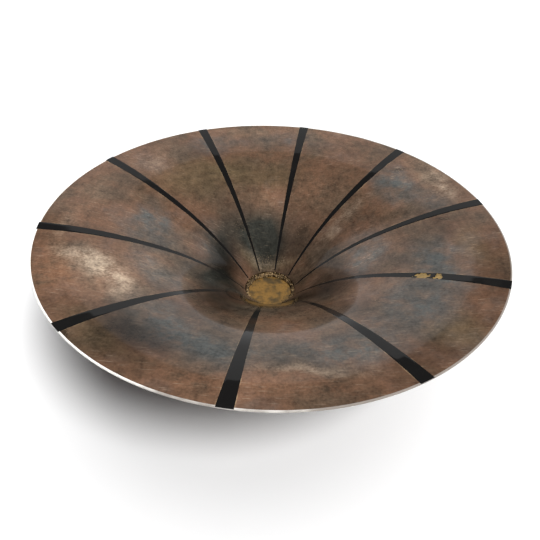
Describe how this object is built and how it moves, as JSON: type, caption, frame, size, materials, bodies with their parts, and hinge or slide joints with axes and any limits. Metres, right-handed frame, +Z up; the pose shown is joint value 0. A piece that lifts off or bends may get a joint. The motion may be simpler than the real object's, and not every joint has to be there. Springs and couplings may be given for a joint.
{
  "type": "flared gong dish",
  "caption": "Wide trumpet-shaped metal gong dish with black radial inlays and a brazed centre disc, standing face up on a small turned foot.",
  "frame": {"origin": "centre of the foot's resting face", "axes": "+Z up along the dish's axis, out of its open face; -Y is the side it is looked at from"},
  "size_m": [0.4004, 0.4004, 0.1058],
  "materials": {
    "patinated_sheet": "mottled brown patina under clear lacquer, worn and scratched",
    "black_inlay": "gloss black lacquer, chipped in places",
    "aged_brass": "dull, speckled",
    "braze": "rough, as laid",
    "turned_brass": "fine turning marks, brown patina"
  },
  "bodies": {
    "root": {"flared_shell": "patinated_sheet", "stripe_01": "black_inlay", "stripe_02": "black_inlay", "stripe_03": "black_inlay", "stripe_04": "black_inlay", "stripe_05": "black_inlay", "stripe_06": "black_inlay", "stripe_07": "black_inlay", "stripe_08": "black_inlay", "stripe_09": "black_inlay", "stripe_10": "black_inlay", "centre_plate": "aged_brass", "neck_seam": "braze", "foot": "turned_brass", "foot_seam": "braze"}
  },
  "joints": []
}
